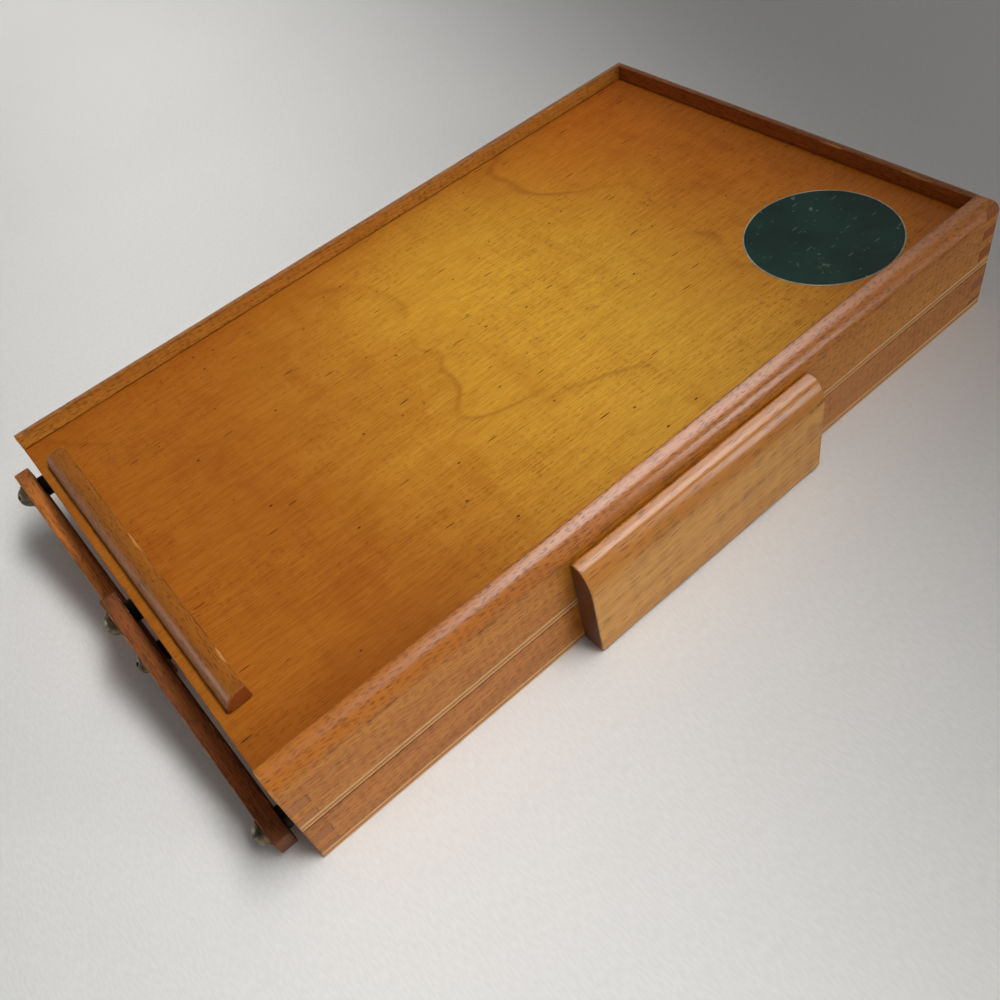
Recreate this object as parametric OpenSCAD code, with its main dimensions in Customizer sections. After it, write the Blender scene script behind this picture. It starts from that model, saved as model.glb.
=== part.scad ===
// Wooden pencil box of two trays. The upper tray swings up and forward on four wooden links and stays
// level, and its plywood lid slides out to the left. Millimetres, closed.
// The origin is the centre of the lower tray's underside: +X to the right end, +Y to the rear, +Z up.

/* [Trays] */
// Outside length of both trays, left to right
box_l = 330; // [260:1:420]
// Outside depth of both trays, front to rear
box_w = 204; // [170:1:260]
// Thickness of the tray walls
wall_t = 7.5; // [7:0.1:10]
// Height of the lower tray's walls
lower_wall_h = 17.2; // [16:0.1:40]
// Height of the upper tray's walls, rim included
upper_wall_h = 27.5; // [26:0.1:60]
// Thickness of the plywood bottoms
ply_t = 3; // [2:0.1:5]
// Gap left between the closed trays
seam_gap = 0.3; // [0.2:0.1:1]
// Radius of the upper tray's rounded outer top edges
edge_r = 6; // [2:0.1:6.5]

/* [Box joints] */
// Height of one finger of the corner joints
finger_h = 4.6; // [3:0.1:8]
// Height of the lowest tail above the wall's lower edge at the upper tray's right end
right_tail_z = 1.6; // [-2:0.1:3]
// Height of the lowest tail above the wall's lower edge at the upper tray's left end
left_tail_z = -1.3; // [-2:0.1:3]
// Height of the lowest tail above the wall's lower edge at both ends of the lower tray
lower_tail_z = -2.1; // [-2.5:0.1:3]
// Least height of a tail that is still cut
least_tail = 1.5; // [1:0.1:3]

/* [Lid] */
// Thickness of the lid
lid_t = 4; // [3:0.1:6]
// Height of the rim above the lid's top
rim_h = 6.6; // [4:0.1:9]
// Depth of the lid's grooves in the walls
groove_d = 3; // [2:0.1:4]
// Gap under the lid in its grooves
lid_under_gap = 0.2; // [0.1:0.05:0.4]
// Gap over the lid in its grooves
lid_over_gap = 0.3; // [0.1:0.05:0.6]
// Gap between the lid's edges and the bottoms of its grooves
lid_edge_gap = 0.4; // [0.2:0.1:1]

/* [Finger pull] */
// Length of the finger pull on the lid
pull_l = 147; // [60:1:150]
// Width of the finger pull's foot
pull_w = 8.6; // [8:0.1:14]
// Height of the finger pull, which is also the radius of its rounded outer side
pull_h = 6.9; // [4:0.1:8]
// Distance of the finger pull from the lid's open edge
pull_inset = 3.7; // [2:0.1:20]
// How far the finger pull sits behind the middle of the lid
pull_shift = 4; // [-5:0.5:5]

/* [Label] */
// Diameter of the round paper label
label_d = 60; // [30:1:90]
// Thickness of the paper label
label_t = 0.2; // [0.1:0.05:0.5]
// Distance of the label's edge from the right end wall
label_right_gap = 12; // [2:0.5:60]
// Distance of the label's edge from the front wall
label_front_gap = 3.8; // [2:0.1:60]

/* [Handle] */
// Length of the handle
handle_l = 110.7; // [80:0.1:180]
// Thickness of the handle
handle_t = 9; // [8:0.1:16]
// Distance of the handle's top below the upper tray's rim
handle_drop = 8.3; // [6.5:0.1:10]
// How much the handle's top falls from back to front
handle_fall = 2; // [0.5:0.1:4]
// Radius of the long curve at the top of the handle's front
handle_front_r = 22; // [16:0.5:40]
// Height of that curve, measured down from the handle's top
handle_curve_h = 12.2; // [8:0.1:15]
// Gap between the handle and the lower tray's front
handle_relief = 0.4; // [0.3:0.1:1]
// Gap between the handle's foot and the surface the box stands on
handle_foot_gap = 0.4; // [0.3:0.1:2]
// Distance of the handle's screws from its ends
handle_screw_inset = 20; // [10:0.5:30]
// How deep the handle's screws go into it
handle_screw_bite = 6; // [4:0.1:6.5]
// Head diameter of the handle's countersunk screws
handle_head_d = 8; // [6:0.1:9]
// Head height of the handle's countersunk screws
handle_head_h = 2.4; // [1.5:0.1:3.5]

/* [Links] */
// Thickness of the link bars
link_t = 6; // [4:0.1:10]
// Width of the link bars
link_w = 13.6; // [11:0.1:15]
// Length of a link bar beyond its pivots
link_overhang = 7.2; // [6:0.1:8]
// Radius of the link bars' corners
link_corner_r = 1; // [0.5:0.1:3]
// Width of the gap between the trays and the links, filled by the spacer washers
link_gap = 3; // [1.5:0.1:5]
// Distance of the outermost pivots from the trays' front and rear
pivot_inset = 14.5; // [12:0.1:25]
// Distance between the two middle pivots along the box's depth
pivot_mid_gap = 5; // [2:0.1:12]
// Gap between a turning link's end and the lid's underside
link_lid_gap = 0.4; // [0.3:0.1:2]
// Gap between a turning link's end and the surface the box stands on
link_floor_gap = 1; // [0.5:0.1:3]
// Side play of a link between its washers, on each face
side_play = 0.1; // [0.05:0.05:0.3]

/* [Pivot screws] */
// Shank diameter of the pivot screws and of the handle's screws
screw_d = 4; // [3:0.1:5]
// How deep the pivot screws go into the end walls
screw_bite = 6; // [4:0.1:6.2]
// Depth left free below a screw's tip
tip_gap = 0.5; // [0.2:0.1:0.8]
// Radial clearance of a screw in its hole in the wood
screw_fit = 0.03; // [0.02:0.01:0.1]
// Radial clearance of a link's bore on its pivot screw
pivot_fit = 0.05; // [0.02:0.01:0.1]
// Radial clearance of the front links' upper bores, where the linkage closes
closing_fit = 0.1; // [0.05:0.01:0.1]
// Diameter of the pivot screws' round heads
head_d = 8.4; // [6.5:0.1:11]
// Height of the pivot screws' round heads
head_h = 3.2; // [2.2:0.1:4]
// Width of the slot in a screw's head
slot_w = 1.2; // [0.6:0.1:1.8]
// Depth of the slot in a screw's head
slot_d = 1.4; // [0.6:0.1:2]
// Diameter of the washers under the pivot screws' heads
washer_d = 9.4; // [7:0.1:12]
// Thickness of the washers under the pivot screws' heads
washer_t = 0.8; // [0.4:0.1:1.5]
// Diameter of the spacer washers behind the links
spacer_d = 8.4; // [6.5:0.1:12]

/* [Panel pins] */
// Shank diameter of the pins that hold the plywood bottoms
pin_d = 1.4; // [1:0.1:2]
// Length of the pins
pin_l = 10; // [8:0.1:16]
// Head diameter of the pins
pin_head_d = 2.6; // [2.2:0.1:4]
// Head height of the pins, let in flush
pin_head_h = 0.6; // [0.3:0.1:1]
// Radial clearance of a pin in its hole
pin_fit = 0.02; // [0.01:0.01:0.1]
// Distance of the end pins from the corners along the front and rear
pin_corner_long = 30; // [15:1:60]
// Distance of the end pins from the corners along the ends
pin_corner_short = 60; // [40:1:75]
// Number of pins along the front and along the rear
pins_long = 4; // [2:1:8]
// Number of pins along each end
pins_short = 2; // [2:1:3]

/* [Hidden] */
$fn = 64;
cut = 1;
walnut_brown = "#8a4a22";
beech_tan = "#b07a45";
lid_gold = "#c0801f";
ply_pale = "#c49a5c";
aged_nickel = "#8d8468";
dark_steel = "#3a3430";
label_green = "#1d4038";

// Heights above the surface the box stands on
lower_wall_z = ply_t;
upper_z = lower_wall_z + lower_wall_h + seam_gap;
upper_wall_z = upper_z + ply_t;
rim_z = upper_wall_z + upper_wall_h;
lid_top_z = rim_z - rim_h;
lid_z = lid_top_z - lid_t;
left_end_h = lid_z - lid_under_gap - upper_wall_z;

// Reach of the lid into its grooves
lid_right_x = box_l / 2 - wall_t + groove_d - lid_edge_gap;
lid_half_w = box_w / 2 - wall_t + groove_d - lid_edge_gap;

// The links and their pivots: the middle pivots lie mid_gap apart, the outer ones pivot_inset from the edges
link_end_r = norm([link_overhang - link_corner_r, link_w / 2 - link_corner_r]) + link_corner_r;
lower_pivot_z = link_end_r + link_floor_gap;
upper_pivot_z = lid_z - link_lid_gap - link_end_r;
link_reach = (box_w - 2 * pivot_inset + pivot_mid_gap) / 2;
pivot_span = link_reach - pivot_mid_gap;
link_rise = upper_pivot_z - lower_pivot_z;
link_l = norm([link_reach, link_rise]);
link_tilt = atan2(link_rise, link_reach);
lower_front_y = -(pivot_span + link_reach) / 2;
lower_rear_y = lower_front_y + pivot_span;
upper_front_y = lower_front_y + link_reach;
upper_rear_y = lower_rear_y + link_reach;
lower_pivots = [[lower_front_y, lower_pivot_z], [lower_rear_y, lower_pivot_z]];
upper_pivots = [[upper_front_y, upper_pivot_z], [upper_rear_y, upper_pivot_z]];

// Distances out from a tray's end wall
link_x = link_gap + side_play;
washer_x = link_x + link_t + side_play;
head_x = washer_x + washer_t;

// The handle
handle_top_z = rim_z - handle_drop;
handle_screw_x = handle_l / 2 - handle_screw_inset;
handle_screw_z = (upper_wall_z + lid_z - lid_under_gap) / 2;

// The full swing that brings the upper tray down to the same height in front
echo(swing_degrees = 180 - 2 * link_tilt);
echo(lower_pivots = lower_pivots);
echo(upper_pivots = upper_pivots);

// Heights of the tails of an end wall of height h, the lowest one starting at start
function tails(start, h) = [
    for (z = [start : 2 * finger_h : h])
        let (low = max(z, 0), high = min(z + finger_h, h))
            if (high - low > least_tail) [low, high]
];
lower_tails = tails(lower_tail_z, lower_wall_h);
left_tails = tails(left_tail_z, left_end_h);
right_tails = tails(right_tail_z, upper_wall_h);

// Places of the panel pins, over the middle of the walls
function spread(half, n) = [for (i = [0 : n - 1]) -half + 2 * half * i / (n - 1)];
pin_x = box_l / 2 - wall_t / 2;
pin_y = box_w / 2 - wall_t / 2;
pin_places = [
    for (x = spread(box_l / 2 - pin_corner_long, pins_long), side = [-1, 1]) [x, side * pin_y],
    for (y = spread(box_w / 2 - pin_corner_short, pins_short), side = [-1, 1]) [side * pin_x, y]
];

// A flat outline of (y, z) drawn out along X from x
module along_x(x, length) {
    translate([x, 0, 0])
        rotate([90, 0, 90])
            linear_extrude(length)
                children();
}

// A flat outline of (x, z) drawn out along Y from y
module along_y(y, length) {
    translate([0, y + length, 0])
        rotate([90, 0, 0])
            linear_extrude(length)
                children();
}

module mirrored_x() {
    mirror([1, 0, 0])
        children();
}

module mirrored_y() {
    mirror([0, 1, 0])
        children();
}

// What a rounded outer corner of radius r loses, its outside at the origin
module corner_loss(r) {
    difference() {
        translate([-r, -r])
            square(r + cut);
        translate([-r, -r])
            circle(r);
    }
}

// A front wall of height h, its lower edge at z, with sockets for the end walls' tails
module long_wall(z, h, left_sockets, right_sockets) {
    translate([-box_l / 2, -box_w / 2, z])
        difference() {
            cube([box_l, wall_t, h]);
            for (s = left_sockets)
                translate([-cut, -cut, s[0]])
                    cube([wall_t + cut, wall_t + 2 * cut, s[1] - s[0]]);
            for (s = right_sockets)
                translate([box_l - wall_t, -cut, s[0]])
                    cube([wall_t + cut, wall_t + 2 * cut, s[1] - s[0]]);
        }
}

// A left end wall of height h, its lower edge at z, with its tails through the front and rear walls
module end_wall(z, h, wall_tails) {
    translate([-box_l / 2, -box_w / 2, z]) {
        translate([0, wall_t, 0])
            cube([wall_t, box_w - 2 * wall_t, h]);
        for (s = wall_tails)
            translate([0, 0, s[0]])
                cube([wall_t, box_w, s[1] - s[0]]);
    }
}

// The outside of the upper tray's walls, rounded along the front, rear and right top edges
module upper_outline() {
    intersection() {
        along_x(-box_l / 2, box_l)
            difference() {
                translate([-box_w / 2, upper_wall_z])
                    square([box_w, upper_wall_h]);
                translate([box_w / 2, rim_z])
                    corner_loss(edge_r);
                mirror([1, 0])
                    translate([box_w / 2, rim_z])
                        corner_loss(edge_r);
            }
        along_y(-box_w / 2, box_w)
            difference() {
                translate([-box_l / 2, upper_wall_z])
                    square([box_l, upper_wall_h]);
                translate([box_l / 2, rim_z])
                    corner_loss(edge_r);
            }
    }
}

// The room that the lid and its gaps take up in the walls' grooves
module lid_room() {
    translate([-box_l / 2 - cut, -lid_half_w - lid_edge_gap, lid_z - lid_under_gap])
        cube([
            box_l / 2 + cut + lid_right_x + lid_edge_gap,
            2 * (lid_half_w + lid_edge_gap),
            lid_t + lid_under_gap + lid_over_gap
        ]);
}

// A round rod along X, of radius r, from x at (y, z)
module rod_x(x, y, z, r, length) {
    translate([x, y, z])
        rotate([0, 90, 0])
            cylinder(r = r, h = length);
}

// The holes in a left end wall for its pivot screws
module pivot_holes(pivots) {
    for (p = pivots)
        rod_x(-box_l / 2 - cut, p[0], p[1], screw_d / 2 + screw_fit, screw_bite + tip_gap + cut);
}

// The panel pins of the tray whose underside is at z, made wider by grow
module pins(z, grow) {
    for (p = pin_places)
        translate([p[0], p[1], z]) {
            cylinder(d = pin_d + 2 * grow, h = pin_l + grow);
            cylinder(d = pin_head_d + 2 * grow, h = pin_head_h + grow);
        }
}

// What the panel pins cut out of the tray whose underside is at z
module pin_holes(z) {
    pins(z, pin_fit);
    for (p = pin_places)
        translate([p[0], p[1], z - cut])
            cylinder(d = pin_head_d + 2 * pin_fit, h = cut + pin_head_h / 2);
}

// A plywood bottom with its underside at z
module bottom_panel(z) {
    difference() {
        translate([-box_l / 2, -box_w / 2, z])
            cube([box_l, box_w, ply_t]);
        pin_holes(z);
    }
}

// The handle's screws, made wider by grow, their heads flush with the front wall's inside
module handle_screw_shapes(grow) {
    for (side = [-1, 1])
        translate([side * handle_screw_x, -box_w / 2 + wall_t, handle_screw_z])
            rotate([90, 0, 0]) {
                cylinder(d = screw_d + 2 * grow, h = wall_t + handle_screw_bite + (grow > 0 ? tip_gap : 0));
                cylinder(d1 = handle_head_d + 2 * grow, d2 = screw_d + 2 * grow, h = handle_head_h);
            }
}

// One slotted round-head screw at the left end, its head outside
module pivot_screw(y, z) {
    dome_r = (head_d * head_d / 4 + head_h * head_h) / (2 * head_h);
    under_head_x = -box_l / 2 - head_x;
    difference() {
        union() {
            rod_x(under_head_x, y, z, screw_d / 2, head_x + screw_bite);
            intersection() {
                translate([under_head_x - head_h + dome_r, y, z])
                    sphere(dome_r);
                rod_x(under_head_x - head_h, y, z, head_d / 2, head_h);
            }
        }
        translate([under_head_x - head_h - cut, y - head_d / 2 - cut, z - slot_w / 2])
            cube([slot_d + cut, head_d + 2 * cut, slot_w]);
    }
}

// A ring on a pivot screw at the left end, its outer face out from the wall by x
module pivot_ring(x, y, z, d, t) {
    difference() {
        rod_x(-box_l / 2 - x, y, z, d / 2, t);
        rod_x(-box_l / 2 - x - cut, y, z, screw_d / 2 + screw_fit, t + 2 * cut);
    }
}

module pivot_screws(pivots) {
    color(aged_nickel)
        for (p = pivots)
            pivot_screw(p[0], p[1]);
}

module head_washers(pivots) {
    color(aged_nickel)
        for (p = pivots)
            pivot_ring(head_x, p[0], p[1], washer_d, washer_t);
}

module spacers(pivots) {
    color(dark_steel)
        for (p = pivots)
            pivot_ring(link_gap, p[0], p[1], spacer_d, link_gap);
}

// A link bar at the left end from its lower pivot, with the upper bore's own clearance
module link(lower_y, upper_fit) {
    flat_l = link_l + 2 * link_overhang;
    color(walnut_brown)
        difference() {
            along_x(-box_l / 2 - link_x - link_t, link_t)
                translate([lower_y, lower_pivot_z])
                    rotate(link_tilt)
                        translate([-link_overhang, -link_w / 2]) {
                            translate([link_corner_r, 0])
                                square([flat_l - 2 * link_corner_r, link_w]);
                            translate([0, link_corner_r])
                                square([flat_l, link_w - 2 * link_corner_r]);
                            for (a = [link_corner_r, flat_l - link_corner_r],
                                 b = [link_corner_r, link_w - link_corner_r])
                                translate([a, b])
                                    circle(link_corner_r);
                        }
            rod_x(-box_l / 2 - link_x - link_t - cut, lower_y, lower_pivot_z,
                screw_d / 2 + pivot_fit, link_t + 2 * cut);
            rod_x(-box_l / 2 - link_x - link_t - cut, lower_y + link_reach, upper_pivot_z,
                screw_d / 2 + upper_fit, link_t + 2 * cut);
        }
}

module lower_bottom_panel() {
    color(ply_pale)
        bottom_panel(0);
}

module lower_front_wall() {
    color(beech_tan)
        difference() {
            long_wall(lower_wall_z, lower_wall_h, lower_tails, lower_tails);
            pin_holes(0);
        }
}

module lower_rear_wall() {
    mirrored_y()
        lower_front_wall();
}

module lower_left_end() {
    color(beech_tan)
        difference() {
            end_wall(lower_wall_z, lower_wall_h, lower_tails);
            pivot_holes(lower_pivots);
            pin_holes(0);
        }
}

module lower_right_end() {
    mirrored_x()
        lower_left_end();
}

module lower_panel_pins() {
    color(dark_steel)
        pins(0, 0);
}

module upper_bottom_panel() {
    color(ply_pale)
        bottom_panel(upper_z);
}

module upper_long_wall() {
    difference() {
        intersection() {
            long_wall(upper_wall_z, upper_wall_h, left_tails, right_tails);
            upper_outline();
        }
        lid_room();
        pin_holes(upper_z);
    }
}

module upper_front_wall() {
    color(beech_tan)
        difference() {
            upper_long_wall();
            handle_screw_shapes(screw_fit);
        }
}

module upper_rear_wall() {
    color(beech_tan)
        mirrored_y()
            upper_long_wall();
}

module upper_left_end() {
    color(beech_tan)
        difference() {
            end_wall(upper_wall_z, left_end_h, left_tails);
            pivot_holes(upper_pivots);
            pin_holes(upper_z);
        }
}

module upper_right_end() {
    color(beech_tan)
        difference() {
            intersection() {
                mirrored_x()
                    end_wall(upper_wall_z, upper_wall_h, right_tails);
                upper_outline();
            }
            lid_room();
            mirrored_x()
                pivot_holes(upper_pivots);
            pin_holes(upper_z);
        }
}

module upper_panel_pins() {
    color(dark_steel)
        pins(upper_z, 0);
}

module front_handle() {
    curve_z = handle_top_z - handle_curve_h;
    color(beech_tan)
        difference() {
            along_x(-handle_l / 2, handle_l)
                translate([-box_w / 2, 0])
                    intersection() {
                        polygon([
                            [0, handle_top_z],
                            [-handle_t, handle_top_z - handle_fall],
                            [-handle_t, handle_foot_gap],
                            [-handle_relief, handle_foot_gap],
                            [-handle_relief, upper_z],
                            [0, upper_z]
                        ]);
                        union() {
                            translate([-handle_t, 0])
                                square([handle_t, curve_z]);
                            translate([handle_front_r - handle_t, curve_z])
                                circle(handle_front_r);
                        }
                    }
            handle_screw_shapes(screw_fit);
        }
}

module handle_screws() {
    color(aged_nickel)
        difference() {
            handle_screw_shapes(0);
            for (side = [-1, 1])
                translate([side * handle_screw_x, -box_w / 2 + wall_t, handle_screw_z])
                    cube([handle_head_d + cut, slot_d, slot_w], center = true);
        }
}

module lid_panel() {
    color(lid_gold)
        translate([-box_l / 2, -lid_half_w, lid_z])
            cube([box_l / 2 + lid_right_x, 2 * lid_half_w, lid_t]);
}

module lid_finger_pull() {
    color(walnut_brown)
        along_y(pull_shift - pull_l / 2, pull_l)
            translate([-box_l / 2 + pull_inset, lid_top_z])
                intersection() {
                    square([pull_w, pull_h]);
                    union() {
                        translate([pull_h, 0])
                            circle(pull_h);
                        translate([pull_h, 0])
                            square([pull_w - pull_h, pull_h]);
                    }
                }
}

module lid_label() {
    color(label_green)
        translate([
            box_l / 2 - wall_t - label_right_gap - label_d / 2,
            -box_w / 2 + wall_t + label_front_gap + label_d / 2,
            lid_top_z
        ])
            cylinder(d = label_d, h = label_t);
}

module left_rear_link() {
    link(lower_rear_y, pivot_fit);
}

module left_front_link() {
    link(lower_front_y, closing_fit);
}

module right_rear_link() {
    mirrored_x()
        left_rear_link();
}

module right_front_link() {
    mirrored_x()
        left_front_link();
}

module lower_left_spacers() {
    spacers(lower_pivots);
}

module lower_left_washers() {
    head_washers(lower_pivots);
}

module lower_left_screws() {
    pivot_screws(lower_pivots);
}

module lower_right_spacers() {
    mirrored_x()
        lower_left_spacers();
}

module lower_right_washers() {
    mirrored_x()
        lower_left_washers();
}

module lower_right_screws() {
    mirrored_x()
        lower_left_screws();
}

module upper_left_spacers() {
    spacers(upper_pivots);
}

module upper_left_washers() {
    head_washers(upper_pivots);
}

module upper_left_screws() {
    pivot_screws(upper_pivots);
}

module upper_right_spacers() {
    mirrored_x()
        upper_left_spacers();
}

module upper_right_washers() {
    mirrored_x()
        upper_left_washers();
}

module upper_right_screws() {
    mirrored_x()
        upper_left_screws();
}

lower_bottom_panel();
lower_front_wall();
lower_rear_wall();
lower_left_end();
lower_right_end();
lower_panel_pins();
upper_bottom_panel();
upper_front_wall();
upper_rear_wall();
upper_left_end();
upper_right_end();
upper_panel_pins();
front_handle();
handle_screws();
lid_panel();
lid_finger_pull();
lid_label();
left_rear_link();
left_front_link();
right_rear_link();
right_front_link();
lower_left_spacers();
lower_left_washers();
lower_left_screws();
lower_right_spacers();
lower_right_washers();
lower_right_screws();
upper_left_spacers();
upper_left_washers();
upper_left_screws();
upper_right_spacers();
upper_right_washers();
upper_right_screws();
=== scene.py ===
import math
import bmesh
import bpy
from mathutils import Matrix, Quaternion, Vector


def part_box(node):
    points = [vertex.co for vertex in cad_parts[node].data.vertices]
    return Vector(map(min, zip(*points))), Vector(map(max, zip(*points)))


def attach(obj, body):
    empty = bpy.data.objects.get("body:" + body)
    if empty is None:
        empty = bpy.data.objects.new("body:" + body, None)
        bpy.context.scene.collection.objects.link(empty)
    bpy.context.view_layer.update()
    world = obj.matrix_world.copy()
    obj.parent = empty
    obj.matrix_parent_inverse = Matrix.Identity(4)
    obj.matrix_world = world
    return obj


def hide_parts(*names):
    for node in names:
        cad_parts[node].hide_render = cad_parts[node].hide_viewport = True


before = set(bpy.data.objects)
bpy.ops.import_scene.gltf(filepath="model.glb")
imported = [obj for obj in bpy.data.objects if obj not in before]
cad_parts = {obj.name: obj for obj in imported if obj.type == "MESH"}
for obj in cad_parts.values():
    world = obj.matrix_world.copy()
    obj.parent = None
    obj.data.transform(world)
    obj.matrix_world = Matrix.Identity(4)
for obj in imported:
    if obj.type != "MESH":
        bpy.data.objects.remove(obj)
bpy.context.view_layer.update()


# The lower tray's bottom is a sheet of three-ply birch, cut flush with the outside of the walls.
# It is glued and pinned under them, so its plies show as pale and dark lines all round the edge.

def pick(piece):
    """Leaves one piece selected and active."""
    bpy.ops.object.select_all(action="DESELECT")
    piece.select_set(True)
    bpy.context.view_layer.objects.active = piece


def settle(piece):
    """Puts a piece's place, turn and size into its mesh."""
    pick(piece)
    bpy.ops.object.transform_apply(location=True, rotation=True, scale=True)
    return piece


def board(name, low, high):
    """A sawn board between two corners."""
    bpy.ops.object.select_all(action="DESELECT")
    middle = (Vector(low) + Vector(high)) / 2
    bpy.ops.mesh.primitive_cube_add(size=1, location=middle)
    piece = bpy.context.object
    piece.name = name
    piece.scale = Vector(high) - Vector(low)
    return settle(piece)


def drill(name, centre, axis, length, radius, far_radius=None, sides=32):
    """A round bar, or a cone, that a hole is cut with: it runs from its centre along an axis."""
    bpy.ops.object.select_all(action="DESELECT")
    axis = Vector(axis).normalized()
    bpy.ops.mesh.primitive_cone_add(
        vertices=sides,
        radius1=radius,
        radius2=radius if far_radius is None else far_radius,
        depth=length,
        location=Vector(centre) + axis * (length / 2),
        rotation=axis.to_track_quat("Z", "Y").to_euler(),
    )
    piece = bpy.context.object
    piece.name = name
    return settle(piece)


def cut(piece, tool, way="DIFFERENCE"):
    """Cuts a piece with a tool's shape, and puts the tool away."""
    saw = piece.modifiers.new("saw", "BOOLEAN")
    saw.object = tool
    saw.operation = way
    saw.solver = "EXACT"
    pick(piece)
    bpy.ops.object.modifier_apply(modifier=saw.name)
    bpy.data.objects.remove(tool, do_unlink=True)


def ease(piece, width, steps=2, sharper_than=40):
    """Takes the sharp edges off a piece, as sandpaper does, and shades it evenly."""
    pick(piece)
    arris = piece.modifiers.new("arris", "BEVEL")
    arris.width = width
    arris.segments = steps
    arris.limit_method = "ANGLE"
    arris.angle_limit = math.radians(sharper_than)
    arris.use_clamp_overlap = False
    bpy.ops.object.modifier_apply(modifier=arris.name)
    bpy.ops.object.shade_smooth_by_angle(angle=math.radians(50))
    level = piece.modifiers.new("level", "WEIGHTED_NORMAL")
    level.keep_sharp = True
    bpy.ops.object.modifier_apply(modifier=level.name)


def fit(piece, body, node, slot, material):
    """Gives a piece its finish, hangs it on the body that it rides on, and hides the part of the frame
    that it stands for.
    """
    piece.data.materials.clear()
    piece.data.materials.append(material)
    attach(piece, body)
    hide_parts(node)


class Field:
    """A value, colour or vector that varies over a surface: one output of a material's nodes."""

    def __init__(self, tree, socket):
        self.tree = tree
        self.socket = socket

    def node(self, kind, settings=(), sockets=(), out=0):
        made = self.tree.nodes.new(kind)
        for name, value in dict(settings).items():
            setattr(made, name, value)
        for name, value in dict(sockets).items():
            if isinstance(value, Field):
                self.tree.links.new(value.socket, made.inputs[name])
            else:
                made.inputs[name].default_value = value
        return Field(self.tree, made.outputs[out] if made.outputs else None)

    def math(self, operation, first, second=0.0):
        return self.node("ShaderNodeMath", {"operation": operation}, {0: first, 1: second})

    def __add__(self, other):
        return self.math("ADD", self, other)

    def __radd__(self, other):
        return self.math("ADD", other, self)

    def __sub__(self, other):
        return self.math("SUBTRACT", self, other)

    def __rsub__(self, other):
        return self.math("SUBTRACT", other, self)

    def __mul__(self, other):
        return self.math("MULTIPLY", self, other)

    def __rmul__(self, other):
        return self.math("MULTIPLY", other, self)

    def __truediv__(self, other):
        return self.math("DIVIDE", self, other)

    def __abs__(self):
        return self.math("ABSOLUTE", self)


def rise(field, start, end):
    """Goes softly from 0 at one value of a field to 1 at another."""
    limits = {"Value": field, "From Min": start, "From Max": end}
    return field.node("ShaderNodeMapRange", {"interpolation_type": "SMOOTHSTEP"}, limits)


def blend(amount, first, second, way="MIX"):
    """One colour into another, or, multiplied, a stain over a colour."""
    settings = {"data_type": "RGBA", "blend_type": way}
    return amount.node("ShaderNodeMix", settings, {0: amount, 6: first, 7: second}, 2)


def colour(red, green, blue):
    """A colour as it is read off a picture, from 0 to 255, made linear."""
    def linear(level):
        level = level / 255
        return level / 12.92 if level <= 0.04045 else ((level + 0.055) / 1.055) ** 2.4
    return (linear(red), linear(green), linear(blue), 1.0)


def surface(name, lot=0.0, lean=(0.0, 0.0, 0.0)):
    """A new material, with the place on the piece in metres. Each lot of wood has its own figure."""
    material = bpy.data.materials.new(name)
    material.use_nodes = True
    tree = material.node_tree
    tree.nodes.clear()
    place = Field(tree, tree.nodes.new("ShaderNodeTexCoord").outputs["Object"])
    shift = (lot * 0.731, lot * 0.417, lot * 0.293)
    figure = place.node("ShaderNodeMapping", {}, {"Vector": place, "Rotation": lean, "Location": shift})
    return material, place, figure


def parts_of(vector):
    """The three numbers of a vector."""
    split = vector.node("ShaderNodeSeparateXYZ", {}, {"Vector": vector})
    outputs = split.socket.node.outputs
    return [Field(vector.tree, outputs[axis]) for axis in range(3)]


def facing(place):
    """How squarely the surface faces along each axis."""
    coordinates = place.node("ShaderNodeTexCoord", {}, {}, 1)
    return [abs(part) for part in parts_of(coordinates)]


def along_grain(grain, along, across):
    """Scales for a pattern that is drawn out along the grain."""
    scales = [across, across, across]
    scales[grain] = along
    return scales


def cloud(figure, scales, detail=2.0, rough=0.55, warp=0.0):
    """Soft uneven patches, or streaks where the scales differ."""
    drawn = figure.node("ShaderNodeMapping", {}, {"Vector": figure, "Scale": scales})
    sockets = {"Vector": drawn, "Scale": 1.0, "Detail": detail, "Roughness": rough, "Distortion": warp}
    return figure.node("ShaderNodeTexNoise", {}, sockets)


def flecks(figure, scales, reach, share):
    """Separate small marks, at most one to a cell, on a share of the cells."""
    drawn = figure.node("ShaderNodeMapping", {}, {"Vector": figure, "Scale": scales})
    near = figure.node("ShaderNodeTexVoronoi", {}, {"Vector": drawn, "Scale": 1.0})
    chance = parts_of(Field(figure.tree, near.socket.node.outputs["Color"]))[0]
    return rise(near, reach, reach * 0.65) * rise(chance, 1.02 - share, 0.98 - share + 0.1)


def varnished(material, place, tint, roughness, height, depth, coat=0.25, coat_roughness=0.25, shine=0.5):
    """Closes a material: its colour, its gloss, and the height of its grain as a bump."""
    bump = place.node("ShaderNodeBump", {}, {"Strength": 1.0, "Distance": depth, "Height": height})
    sockets = {"Base Color": tint, "Roughness": roughness, "Normal": bump}
    sockets["Coat Weight"] = coat
    sockets["Coat Roughness"] = coat_roughness
    sockets["Specular IOR Level"] = shine
    shader = place.node("ShaderNodeBsdfPrincipled", {}, sockets)
    place.node("ShaderNodeOutputMaterial", {}, {"Surface": shader})
    return material


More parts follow.
